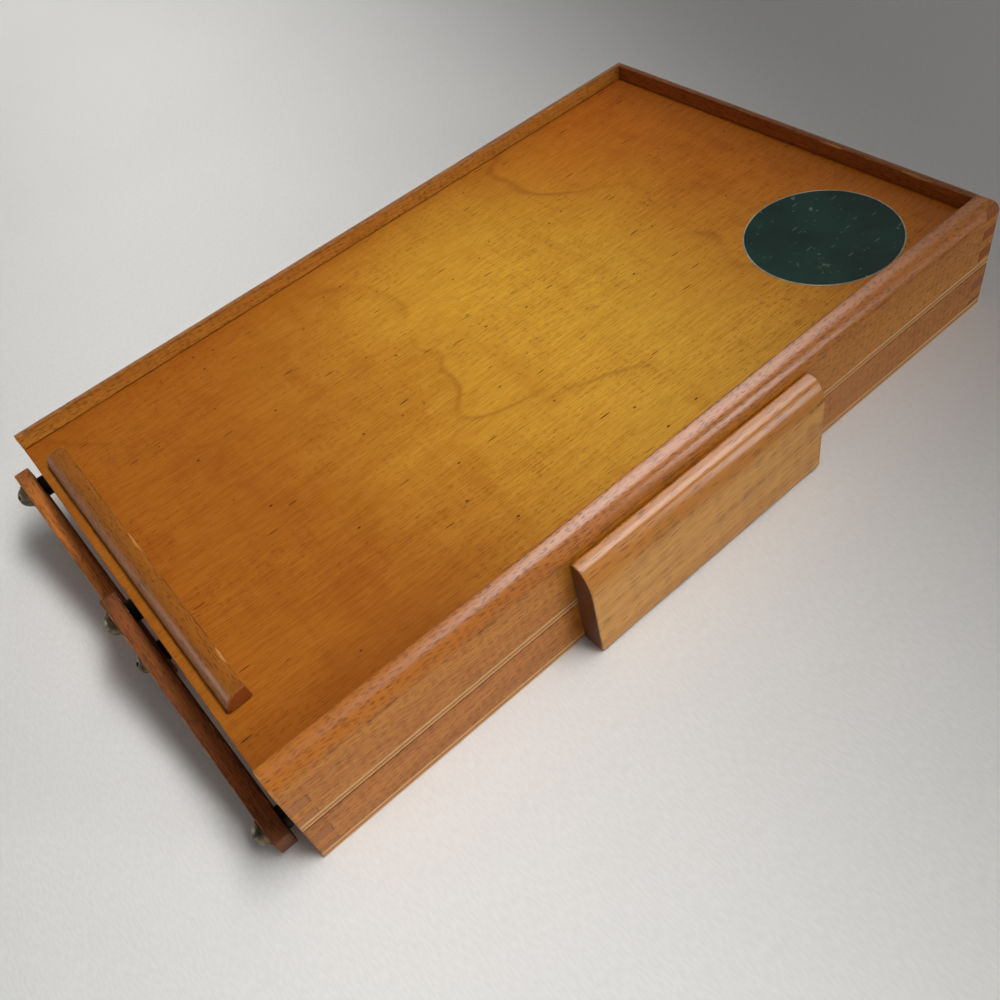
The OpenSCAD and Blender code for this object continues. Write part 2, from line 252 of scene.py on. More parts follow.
def plywood(name, low, high, lot):
    """Birch plywood, bare inside and oiled at its edges, with the grain of the face plies along X."""
    material, place, figure = surface(name, lot)
    birch = (colour(206, 168, 114), colour(188, 146, 92))
    edge_pale = colour(210, 158, 94)
    edge_dark = colour(156, 98, 44)
    streak = cloud(figure, along_grain(0, 9, 130), 3)
    fibre = cloud(figure, along_grain(0, 60, 2300), 2)
    pores = flecks(figure, along_grain(0, 90, 1100), 0.3, 0.5)
    face = blend(rise(streak * 0.6 + fibre * 0.4, 0.36, 0.66), *birch)
    face = blend(pores * 0.4, face, colour(120, 78, 38))
    height = parts_of(place)[2]
    wander = cloud(figure, (70, 70, 300), 3) * 0.00035
    level = (height - low[2] + wander - 0.00017) / (high[2] - low[2])
    core = rise(level, 0.31, 0.36) * rise(level, 0.69, 0.64)
    end_pores = cloud(figure, (900, 900, 500), 2)
    edge = blend(core, edge_pale, edge_dark)
    edge = blend(rise(end_pores, 0.52, 0.75) * (0.12 + core * 0.3), edge, colour(84, 46, 20))
    sideways = rise(facing(place)[2], 0.72, 0.5)
    tint = blend(sideways, face, edge)
    roughness = 0.5 + streak * 0.12 - sideways * 0.06
    return varnished(material, place, tint, roughness, fibre * 0.3 - pores, 0.00008, 0.1)


pin_seat_radius = 0.00132
pin_seat_depth = 0.0007
long_wall_middle = 0.09825
end_wall_middle = 0.16125
pin_spots = []
for side in (-1, 1):
    for reach in (-0.135, -0.045, 0.045, 0.135):
        pin_spots.append((reach, side * long_wall_middle))
    for reach in (-0.042, 0.042):
        pin_spots.append((side * end_wall_middle, reach))


def bottom(tray, lot):
    """A tray's bottom, with the small holes that the heads of its pins sit in."""
    below = 0.0002
    node = tray + "_bottom_panel"
    low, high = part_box(node)
    panel = board(tray + "_bottom", low, high)
    for along, across in pin_spots:
        start = (along, across, low.z - below)
        cut(panel, drill("bit", start, (0, 0, 1), pin_seat_depth + below, pin_seat_radius, sides=20))
    ease(panel, 0.0003)
    fit(panel, tray + "_tray", node, "bottom_plywood", plywood(tray + "_ply", low, high, lot))


bottom("lower", 1)


# The lower tray's four walls are beech boards. Their ends are cut into square fingers that lock
# at the corners, so dark end grain shows in turn on the faces; the wood is oiled and varnished.

def least(first, second):
    return first.math("MINIMUM", first, second)


def most(first, second):
    return first.math("MAXIMUM", first, second)


def to_edge(place, low, high):
    """How far a point on a board is from the board's nearest edge."""
    gaps = []
    for part, start, end in zip(parts_of(place), low, high):
        gaps.append(least(abs(part - start), abs(part - end)))
    first, second, third = gaps
    return most(least(first, second), least(most(first, second), third))


def beech(name, low, high, grain, pale, deep, end, crown=colour(172, 98, 26), fleck=(320, 2800, 0.6),
          scuff=None, lot=0.0, lean=(0.0, 0.0, 0.0), knocks=(), gloss=1.0):
    """Varnished beech: short dark flecks along the grain, darker end grain, rubbed and grimy edges.

    The top tint is the colour of what faces up: painted light, for how the tops and rounded edges catch
    and mirror the light. The flecks are given by how many places there are for one in a metre along and
    across the grain and by the share of these that hold one, a scuff by the height of the line that
    rubbing has left on a face, above which the face takes the painted top tint as well, and knocks by
    where, and how far about, the edges are knocked down to bare wood. The gloss is how much of the
    varnish is left.
    """
    material, place, figure = surface(name, lot, lean)
    bare = colour(202, 144, 82)
    soil = colour(66, 32, 12)
    band = cloud(figure, along_grain(grain, 6, 140), 3, 0.6)
    fibre = cloud(figure, along_grain(grain, 90, 1900), 3, 0.6)
    often, close, share = fleck
    short = flecks(figure, along_grain(grain, often, close), 0.46, share)
    long = flecks(figure, along_grain(grain, often * 0.45, close * 1.1), 0.4, share * 0.5)
    patch = cloud(figure, (28, 28, 28), 3)
    tint = blend(rise(band * 0.5 + fibre * 0.5, 0.36, 0.64), deep, pale)
    upward = facing(place)[2]
    # Painted light: what faces up is drawn towards the top tint, for the way the tops catch and mirror
    # the light.
    tint = blend(rise(upward, 0.12, 0.45) * 0.6, tint, crown)
    # Painted light: above a scuff line, on the rounded edge, the face takes the top tint as well.
    if scuff is not None:
        wander = (cloud(figure, along_grain(grain, 45, 45), 3) - 0.5) * 0.0035
        above = parts_of(place)[2] + wander - scuff
        tint = blend(rise(above, -0.0005, 0.0005) * 0.5, tint, crown)
    mark = most(short, long * 0.8) * rise(patch, 0.1, 0.5)
    tint = blend(mark * 0.68, tint, colour(132, 102, 72), "MULTIPLY")
    rings = cloud(figure, along_grain(grain, 300, 900), 2)
    end_tint = blend(rise(rings, 0.35, 0.65) * 0.2, end, soil)
    on_end = rise(facing(place)[grain], 0.62, 0.82)
    tint = blend(on_end, tint, end_tint)
    edge = to_edge(place, low, high)
    rub = cloud(figure, along_grain(grain, 160, 420), 4, 0.65)
    dirty = rise(edge + rub * 0.0016, 0.0017, 0.0006) * rise(patch, 0.35, 0.6)
    tint = blend(dirty * 0.6, tint, soil)
    thin = edge + rub * 0.002
    for spot, reach in knocks:
        apart = place.node("ShaderNodeVectorMath", {"operation": "DISTANCE"}, {0: place, 1: spot}, 1)
        thin = thin - rise(apart, reach, reach * 0.3) * 0.0009
    rubbed = rise(thin, 0.00105, 0.0007)
    tint = blend(rubbed * 0.65, tint, bare)
    spots = cloud(figure, (210, 210, 210), 3)
    smear = rise(patch, 0.56, 0.72) * rise(spots, 0.5, 0.72) * 0.5
    if scuff is not None:
        line = rise(abs(above), 0.0008, 0.0002) + rise(abs(above), 0.003, 0.0005) * 0.3
        broken = rise(cloud(figure, (60, 60, 60), 3), 0.42, 0.58) * (0.35 + 0.65 * rise(spots, 0.4, 0.6))
        smear = most(smear, line * broken)
    tint = blend(smear * 0.45 * (1 - on_end), tint, soil)
    roughness = 0.34 + patch * 0.12 + mark * 0.2 + rubbed * 0.25
    height = fibre * 0.25 - mark - rubbed * 0.6
    coat = (0.6 + rise(upward, 0.0, 0.5) * 0.35) * gloss * (1 - rubbed) * (1 - mark * 0.15)
    coat = coat * (0.85 + 0.15 * rise(fibre, 0.36, 0.6))
    return varnished(material, place, tint, roughness, height, 0.0001, coat, 0.28, 0.05)


finger = 0.0046
lower_first_finger = -0.0021
wall_arris = 0.00025
# Cutting tools reach this far past the wood.
margin = 0.002
# Places closer together than this count as the same.
hair = 0.0001


def fingers(start, foot, height):
    """Heights between which the end boards' fingers stand, by where the first begins."""
    spans = []
    level = start
    while level < height - hair:
        spans.append((foot + max(level, 0), foot + min(level + finger, height)))
        level += 2 * finger
    return spans


def gaps_between(spans, foot, top):
    """The heights that a row of fingers leaves free."""
    free = []
    level = foot
    for start, end in spans:
        if start > level + hair:
            free.append((level, start))
        level = end
    if level < top - hair:
        free.append((level, top))
    return free


lower_wood = {"pale": colour(192, 120, 36), "deep": colour(165, 96, 24), "end": colour(160, 92, 38)}
low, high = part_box("lower_front_wall")
lower_spans = fingers(lower_first_finger, low.z, high.z - low.z)
wall = high.y - low.y


def cut_sockets(piece, spans, low, high):
    """Cuts what an end board leaves free between its fingers, at both of its ends."""
    for start, end in gaps_between(spans, low.z, high.z):
        above = margin if end > high.z - hair else 0
        for near, far in ((low.y - margin, low.y + wall), (high.y - wall, high.y + margin)):
            cut(piece, board("saw", (low.x - margin, near, start), (high.x + margin, far, end + above)))


for lot, side in enumerate(("front", "rear")):
    node = "lower_" + side + "_wall"
    low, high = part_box(node)
    piece = board("lower_" + side + "_board", low, high)
    for start, end in lower_spans:
        for left, right in ((low.x - margin, low.x + wall), (high.x - wall, high.x + margin)):
            cut(piece, board("saw", (left, low.y - margin, start), (right, high.y + margin, end)))
    ease(piece, wall_arris)
    slant = (0.0, math.radians(4.0 - lot), 0.0)
    wood = beech("lower_" + side + "_beech", low, high, 0, **lower_wood, lot=2 + lot, lean=slant)
    fit(piece, "lower_tray", node, "wall_wood", wood)
for lot, side in enumerate(("left", "right")):
    node = "lower_" + side + "_end"
    low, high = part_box(node)
    piece = board("lower_" + side + "_end_board", low, high)
    cut_sockets(piece, lower_spans, low, high)
    ease(piece, wall_arris)
    end_wood = dict(lower_wood, end=colour(168, 102, 44) if side == "left" else colour(150, 88, 40))
    wood = beech("lower_" + side + "_end_beech", low, high, 1, **end_wood, lot=4 + lot)
    fit(piece, "lower_tray", node, "wall_wood", wood)


# Twelve small steel pins hold each bottom. Their heads lie level with the underside,
# dull and spotted with rust; they are the solids of the frame, in a finish of their own.

def bare_metal(name, bright, dull, rust, roughness, spots=900):
    """Old bare metal: tarnished in patches, spotted with rust and finely scratched."""
    material, place, figure = surface(name)
    patch = cloud(figure, (spots * 0.35,) * 3, 3)
    fine = cloud(figure, (spots * 2.2,) * 3, 3)
    tint = blend(rise(patch, 0.36, 0.64), bright, dull)
    rusty = rise(fine * 0.55 + patch * 0.45, 0.5, 0.66)
    tint = blend(rusty * 0.7, tint, rust)
    gloss = roughness + patch * 0.2 + rusty * 0.25
    bump = place.node("ShaderNodeBump", {}, {"Strength": 1.0, "Distance": 0.00004, "Height": fine})
    sockets = {"Base Color": tint, "Roughness": gloss, "Metallic": 1 - rusty * 0.6, "Normal": bump}
    shader = place.node("ShaderNodeBsdfPrincipled", {}, sockets)
    place.node("ShaderNodeOutputMaterial", {}, {"Surface": shader})
    return material


pin_steel = bare_metal("pin_steel", colour(150, 146, 138), colour(96, 90, 82), colour(92, 52, 28), 0.35)
for node in ("lower_panel_pins", "upper_panel_pins"):
    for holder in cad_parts[node].material_slots:
        holder.material = pin_steel


# The four links are flat beech bars with eased corners, stained red-brown and darker near their ends and
# along their edges; the rear pair's stain is a lighter copy, painted light, and the front pair's a darker
# one, painted shade. Each turns on two round-headed screws, one in the lower tray and one in the upper.

link_width = 0.0136
link_overhang = 0.0072
link_bore = 0.0022
link_corner = 0.0012
link_bit = 0.012
lower_screw_low, lower_screw_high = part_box("lower_left_spacers")
upper_screw_low, upper_screw_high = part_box("upper_left_spacers")
spacer_radius = (lower_screw_high.z - lower_screw_low.z) / 2
pivots = {
    "rear": (
        Vector((0, lower_screw_high.y - spacer_radius, lower_screw_low.z + spacer_radius)),
        Vector((0, upper_screw_high.y - spacer_radius, upper_screw_low.z + spacer_radius)),
    ),
    "front": (
        Vector((0, lower_screw_low.y + spacer_radius, lower_screw_low.z + spacer_radius)),
        Vector((0, upper_screw_low.y + spacer_radius, upper_screw_low.z + spacer_radius)),
    ),
}


def choose_edges(piece, wanted):
    """Opens a piece for shaping, with those edges selected whose two ends are wanted."""
    pick(piece)
    bpy.ops.object.mode_set(mode="EDIT")
    bpy.ops.mesh.select_mode(type="EDGE")
    bpy.ops.mesh.select_all(action="DESELECT")
    shape = bmesh.from_edit_mesh(piece.data)
    for edge in shape.edges:
        if wanted(edge.verts[0].co, edge.verts[1].co):
            edge.select_set(True)
    bmesh.update_edit_mesh(piece.data)


# Painted light and shade: the rear links get a lighter copy of the stain than the front links, for the
# brighter light on the rear pair and the shade on the front pair.
lit_and_shaded_link_stains = {
    "rear": (colour(156, 86, 32), colour(206, 124, 52)),
    "front": (colour(112, 58, 22), colour(152, 86, 36)),
}


def stained_beech(name, slope, foot, low, high, deep, pale, lot):
    """Beech under a red-brown stain, in the sloping bar's own lengthways coordinates."""
    material, place, _ = surface(name)
    from_foot = {0: place, 1: (0, foot.y, foot.z)}
    moved = place.node("ShaderNodeVectorMath", {"operation": "SUBTRACT"}, from_foot)
    level = place.node("ShaderNodeMapping", {}, {"Vector": moved, "Rotation": (-slope, 0, 0)})
    shift = (lot, lot * 0.3, lot * 0.7)
    figure = place.node("ShaderNodeMapping", {}, {"Vector": level, "Location": shift})
    band = cloud(figure, along_grain(1, 6, 150), 3, 0.6)
    fibre = cloud(figure, along_grain(1, 70, 2300), 2)
    short = flecks(figure, along_grain(1, 300, 1700), 0.45, 0.7)
    patch = cloud(figure, (35, 35, 35), 3)
    tint = blend(rise(band * 0.5 + fibre * 0.5, 0.34, 0.66), deep, pale)
    tint = blend(short * 0.45, tint, colour(60, 28, 12))
    from_middle = abs(parts_of(level)[1] - (low[1] + high[1]) / 2)
    near_ends = rise(from_middle, high[1] / 2 - 0.012, high[1] / 2)
    tint = blend(near_ends * 0.35, tint, colour(70, 36, 18))
    edge = to_edge(level, low, high)
    rub = cloud(figure, along_grain(1, 150, 320), 4, 0.65)
    tint = blend(rise(edge + rub * 0.0018, 0.0024, 0.0008) * 0.5, tint, colour(58, 28, 14))
    rubbed = rise(edge + rub * 0.0018, 0.0013, 0.0008)
    tint = blend(rubbed * 0.75, tint, colour(196, 140, 88))
    roughness = 0.46 + patch * 0.16 + short * 0.1 + rubbed * 0.2
    height = fibre * 0.25 - short - rubbed * 0.5
    return varnished(material, place, tint, roughness, height, 0.0001, 0.0, 0.3, 0.2)


def link(side, place_on_box, lot):
    """One link bar: sawn straight, its corners rounded, bored at both ends, then turned to its slope."""
    node = side + "_" + place_on_box + "_link"
    low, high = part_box(node)
    foot, head = pivots[place_on_box]
    reach = (head - foot).length
    slope = math.atan2(head.z - foot.z, head.y - foot.y)
    flat_low = Vector((low.x, -link_overhang, -link_width / 2))
    flat_high = Vector((high.x, reach + link_overhang, link_width / 2))
    bar = board(node + "_bar", flat_low, flat_high)
    choose_edges(bar, lambda first, second: abs(first.x - second.x) > 0.001)
    bpy.ops.mesh.bevel(offset=link_corner, segments=4, profile=0.5, affect="EDGES")
    bpy.ops.object.mode_set(mode="OBJECT")
    for along in (0, reach):
        cut(bar, drill("bit", (low.x - margin, along, 0), (1, 0, 0), link_bit, link_bore))
    ease(bar, 0.00045, 3)
    bar.rotation_euler = (slope, 0, 0)
    bar.location = (0, foot.y, foot.z)
    settle(bar)
    deep, pale = lit_and_shaded_link_stains[place_on_box]
    wood = stained_beech(node + "_wood", slope, foot, flat_low, flat_high, deep, pale, lot)
    fit(bar, place_on_box + "_links", node, "link_wood", wood)


for number, side in enumerate(("left", "right")):
    for order, spot in enumerate(("rear", "front")):
        link(side, spot, 6 + 2 * number + order)


# Each pivot is a plain slotted screw: a domed head over a thin washer outside the link, and a dark
# steel collar between the link and the tray, all turned on a lathe and gone dull with age.

nickel = (colour(128, 116, 94), colour(66, 56, 42), colour(44, 33, 22))
brass = (colour(150, 128, 90), colour(92, 74, 48), colour(58, 42, 28))
blackened = (colour(58, 54, 50), colour(30, 27, 25), colour(52, 34, 22))
screw_metal = bare_metal("screw_nickel", *nickel, roughness=0.26, spots=700)
washer_metal = bare_metal("washer_brass", *brass, roughness=0.32, spots=700)
spacer_steel = bare_metal("spacer_blackened", *blackened, roughness=0.42, spots=700)
ring_bore = 0.0021
shank_radius = 0.002
slot_depth = 0.0014
upper_slots_turn = 17


def turned_ring(name, centre, outward, inner, outer, thick, rounding):
    """A ring turned from bar, with a bored hole and eased edges."""
    ring = drill(name, centre, outward, thick, outer, sides=48)
    start = Vector(centre) - Vector(outward) * margin
    cut(ring, drill("bit", start, outward, thick + 2 * margin, inner, sides=48))
    ease(ring, rounding, 3)
    return ring


def slotted_screw(name, under_head, outward, radius, rise_of_head, shank, shank_length, turn):
    """A round-headed screw: a ball cut flat under the head, a shank, and a slot sawn across at a turn."""
    outward = Vector(outward)
    ball = (radius * radius + rise_of_head * rise_of_head) / (2 * rise_of_head)
    bpy.ops.object.select_all(action="DESELECT")
    bpy.ops.mesh.primitive_uv_sphere_add(segments=48, ring_count=48, radius=ball)
    screw = bpy.context.object
    screw.name = name
    screw.rotation_euler = (0, math.pi / 2, 0)
    screw.location = Vector(under_head) + outward * (rise_of_head - ball)
    settle(screw)
    bpy.ops.object.mode_set(mode="EDIT")
    bpy.ops.mesh.select_all(action="SELECT")
    bpy.ops.mesh.bisect(plane_co=under_head, plane_no=outward, use_fill=True, clear_inner=True)
    bpy.ops.object.mode_set(mode="OBJECT")
    overlap = 0.0004
    start = Vector(under_head) + outward * overlap
    cut(screw, drill("bar", start, -outward, shank_length + overlap, shank, sides=32), "UNION")
    top = Vector(under_head) + outward * rise_of_head
    half_slot = 0.0006
    floor_of_slot = top - outward * slot_depth
    beyond = top + outward * margin
    saw_low = (min(floor_of_slot.x, beyond.x), -radius - margin, -half_slot)
    saw_high = (max(floor_of_slot.x, beyond.x), radius + margin, half_slot)
    saw = board("saw", saw_low, saw_high)
    saw.rotation_euler = (turn, 0, 0)
    saw.location = (0, top.y, top.z)
    cut(screw, settle(saw))
    ease(screw, 0.00012, 2)
    return screw


def join(name, pieces):
    """Several solids that one name stands for, in one mesh."""
    pick(pieces[0])
    for piece in pieces:
        piece.select_set(True)
    bpy.ops.object.join()
    whole = bpy.context.object
    whole.name = name
    return whole


for tray, spot_number in (("lower", 0), ("upper", 1)):
    for side, way in (("left", -1), ("right", 1)):
        stem = tray + "_" + side
        outward = (way, 0, 0)
        groups = {"spacers": [], "washers": [], "screws": []}
        for spot, turn in (("rear", 96), ("front", 118)):
            pivot = pivots[spot][spot_number]
            for row, rounding in (("spacers", 0.00025), ("washers", 0.0002)):
                low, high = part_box(stem + "_" + row)
                near = high.x if way < 0 else low.x
                outer = (high.z - low.z) / 2
                centre = (near, pivot.y, pivot.z)
                ring = turned_ring(row, centre, outward, ring_bore, outer, high.x - low.x, rounding)
                groups[row].append(ring)
            washer_low, washer_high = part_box(stem + "_washers")
            low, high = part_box(stem + "_screws")
            seat = washer_low.x if way < 0 else washer_high.x
            tip = low.x if way < 0 else high.x
            foot = high.x if way < 0 else low.x
            head_radius = (high.z - low.z) / 2
            under_head = (seat, pivot.y, pivot.z)
            sizes = (head_radius, abs(tip - seat), shank_radius, abs(foot - seat))
            slot_turn = math.radians(turn + upper_slots_turn * spot_number)
            screw = slotted_screw("screw", under_head, outward, *sizes, slot_turn)
            groups["screws"].append(screw)
        finishes = {
            "spacers": ("spacer_steel", spacer_steel),
            "washers": ("washer_metal", washer_metal),
            "screws": ("screw_metal", screw_metal),
        }
        for row, solids in groups.items():
            whole = join(stem + "_pivot_" + row, solids)
            fit(whole, tray + "_tray", stem + "_" + row, *finishes[row])


# The upper tray's bottom is the same three-ply sheet as the lower one's, seen as two pale lines
# and a dark one between the trays.

bottom("upper", 11)


# The upper tray's walls are beech boards like the lower ones, but taller. Three stand above the lid,
# grooved inside for it and rounded along the outer top edge; the left end is low, so the lid runs out.

edge_radius = 0.0071
front_low, front_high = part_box("upper_front_wall")
rear_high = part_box("upper_rear_wall")[1]
lid_low, lid_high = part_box("lid_panel")
groove_under = 0.0002
groove_over = 0.0003
groove_side = 0.0004
left_first_finger = -0.0013
right_first_finger = 0.0016
way_out = 0.02
countersink_depth = 0.0022
countersink_slack = 0.0001
countersink_lift = 0.00005
countersink_tip = 0.002
scuff_drop = 0.0064
left_spans = fingers(left_first_finger, front_low.z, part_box("upper_left_end")[1].z - front_low.z)
right_spans = fingers(right_first_finger, front_low.z, front_high.z - front_low.z)


def rounded_outline():
    """The upper tray as one block with its three outer top edges rounded, to shape the walls with."""
    low = Vector((front_low.x, front_low.y, front_low.z - margin))
    high = Vector((front_high.x, rear_high.y, front_high.z))
    block = board("outline", low, high)

    def outer_top(first, second):
        on_top = min(first.z, second.z) > high.z - hair
        at_left = max(first.x, second.x) < low.x + hair
        return on_top and not at_left

    choose_edges(block, outer_top)
    bpy.ops.mesh.bevel(offset=edge_radius, segments=10, profile=0.5, affect="EDGES")
    bpy.ops.object.mode_set(mode="OBJECT")
    return block


def lid_room():
    """The space that the lid slides in: the grooves, and the way out over the left end."""
    low = (lid_low.x - way_out, lid_low.y - groove_side, lid_low.z - groove_under)
    high = (lid_high.x + groove_side, lid_high.y + groove_side, lid_high.z + groove_over)
    return board("plough", low, high)


upper_wood = {"pale": colour(200, 129, 37), "deep": colour(174, 103, 24), "end": colour(164, 96, 40)}
for lot, side in enumerate(("front", "rear")):
    node = "upper_" + side + "_wall"
    low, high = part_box(node)
    rough_low = Vector((low.x - margin, low.y - (margin if side == "front" else 0), low.z))
    rough_high = Vector((high.x + margin, high.y + (margin if side == "rear" else 0), high.z + margin))
    piece = board("upper_" + side + "_board", rough_low, rough_high)
    cut(piece, rounded_outline(), "INTERSECT")
    cut(piece, lid_room())
    for start, end in left_spans:
        saw_low = (low.x - margin, low.y - margin, start)
        cut(piece, board("saw", saw_low, (low.x + wall, high.y + margin, end)))
    for start, end in right_spans:
        saw_low = (high.x - wall, low.y - margin, start)
        cut(piece, board("saw", saw_low, (high.x + margin, high.y + margin, end)))
    if side == "front":
        screw_low, screw_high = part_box("handle_screws")
        head_radius = (screw_high.z - screw_low.z) / 2
        for spot in (screw_low.x + head_radius, screw_high.x - head_radius):
            inside = (spot, high.y + countersink_lift, (screw_low.z + screw_high.z) / 2)
            wide = head_radius + countersink_slack
            cut(piece, drill("bit", inside, (0, -1, 0), countersink_depth, wide, countersink_tip))
    ease(piece, wall_arris)
    slant = (0.0, math.radians(-5.0 + 2 * lot), 0.0)
    corner = ((low.x, low.y if side == "front" else high.y, high.z - 0.003), 0.012)
    finish = {"lot": 12 + lot, "lean": slant, "knocks": [corner]}
    if side == "front":
        finish["scuff"] = high.z - scuff_drop
    else:
        finish.update(pale=colour(206, 140, 56), deep=colour(182, 114, 40), crown=colour(158, 90, 26))
        finish["gloss"] = 0.5
    wood = beech("upper_" + side + "_beech", low, high, 0, **{**upper_wood, **finish})
    fit(piece, "upper_tray", node, "wall_wood", wood)

low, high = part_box("upper_left_end")
piece = board("upper_left_end_board", low, high)
cut_sockets(piece, left_spans, low, high)
ease(piece, wall_arris)
wood = beech("upper_left_end_beech", low, high, 1, **dict(upper_wood, end=colour(176, 110, 48)), lot=14)
fit(piece, "upper_tray", "upper_left_end", "wall_wood", wood)

low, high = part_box("upper_right_end")
rough_low = Vector((low.x, low.y - margin, low.z))
rough_high = Vector((high.x + margin, high.y + margin, high.z + margin))
piece = board("upper_right_end_board", rough_low, rough_high)
cut(piece, rounded_outline(), "INTERSECT")
cut_sockets(piece, right_spans, low, high)
cut(piece, lid_room())
ease(piece, wall_arris)
# The right end is a darker, redder board: partly its own wood, partly painted shade for the light that
# falls off towards the right.
right_wood_and_shade = {
    "pale": colour(172, 96, 38),
    "deep": colour(142, 74, 26),
    "end": colour(156, 90, 42),
    "crown": colour(140, 80, 34),
    "lot": 15,
    "gloss": 0.2,
    "knocks": [((low.x, -0.03, high.z), 0.008), ((high.x, -0.07, high.z), 0.014)],
}
wood = beech("upper_right_end_beech", low, high, 1, **right_wood_and_shade)
fit(piece, "upper_tray", "upper_right_end", "wall_wood", wood)


# The handle is a beech board rounded over along its top, screwed from inside to the upper tray's front
# and hanging over the lower one, so that it lifts and swings the upper tray.

curve_start = 0.0305
curve_depth = 0.0058
arc_steps = 14
crest_drop = 0.0003
back_rounding = 0.0014
scuff_rise = 0.0035
handle_low, handle_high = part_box("front_handle")
crest = handle_high.z - crest_drop
bpy.ops.object.select_all(action="DESELECT")
bpy.ops.mesh.primitive_plane_add(size=1, location=(handle_low.x, 0, 0), rotation=(0, math.pi / 2, 0))
handle = bpy.context.object
handle.name = "handle_board"
settle(handle)
bpy.ops.object.mode_set(mode="EDIT")
shape = bmesh.from_edit_mesh(handle.data)
for vert in shape.verts:
    front = vert.co.y < 0
    top = vert.co.z > 0
    vert.co.y = handle_low.y if front else handle_high.y
    vert.co.z = (crest if front else handle_high.z) if top else handle_low.z
bmesh.update_edit_mesh(handle.data)
bpy.ops.object.mode_set(mode="OBJECT")
choose_edges(handle, lambda first, second: max(first.y, second.y) < handle_low.y + hair)
bpy.ops.mesh.subdivide(number_cuts=arc_steps)
shape = bmesh.from_edit_mesh(handle.data)
front_points = [vert for vert in shape.verts if vert.co.y < handle_low.y + hair]
front_points.sort(key=lambda vert: vert.co.z)
for order, vert in enumerate(front_points[1:]):
    turn = math.pi / 2 * order / arc_steps
    vert.co.z = curve_start + (crest - curve_start) * math.sin(turn)
    vert.co.y = handle_low.y + curve_depth * (1 - math.cos(turn))
bmesh.update_edit_mesh(handle.data)
bpy.ops.mesh.select_all(action="SELECT")
bpy.ops.mesh.extrude_region_move(
    TRANSFORM_OT_translate={"value": (handle_high.x - handle_low.x, 0, 0)}
)
bpy.ops.mesh.select_all(action="SELECT")
bpy.ops.mesh.normals_make_consistent(inside=False)
bpy.ops.object.mode_set(mode="OBJECT")


def on_back(first, second):
    level = min(first.z, second.z) > handle_high.z - hair
    return level and abs(first.x - second.x) > 0.01


choose_edges(handle, on_back)
bpy.ops.mesh.bevel(offset=back_rounding, segments=5, profile=0.5, affect="EDGES")
bpy.ops.object.mode_set(mode="OBJECT")
ease(handle, 0.0006, 3)
handle_wood = {
    "pale": colour(214, 154, 70),
    "deep": colour(186, 124, 50),
    "end": colour(96, 48, 20),
    "crown": colour(178, 106, 24),
    "fleck": (150, 2600, 0.3),
    "scuff": curve_start + scuff_rise,
    "knocks": [
        ((0.012, handle_high.y, handle_high.z), 0.022),
        ((handle_high.x, handle_low.y, crest), 0.008),
    ],
    "lot": 16,
    "lean": (0.0, math.radians(3.0), 0.0),
}
wood = beech("handle_beech", handle_low, handle_high, 0, **handle_wood)
fit(handle, "upper_tray", "front_handle", "handle_wood", wood)


# Two countersunk steel screws hold the handle, driven from inside the upper tray with their heads
# flush; they are the solids of the frame, dulled like the pins.

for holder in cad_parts["handle_screws"].material_slots:
    holder.material = pin_steel


# The lid is a sheet of birch plywood under old orange varnish, gone golden where it is worn thin; its
# golden middle is partly a painted pool of light, and the darker strips beside the walls partly painted
# shade.
# It slides in the grooves; its grain runs along the box, with fine pores and a few wandering rings.

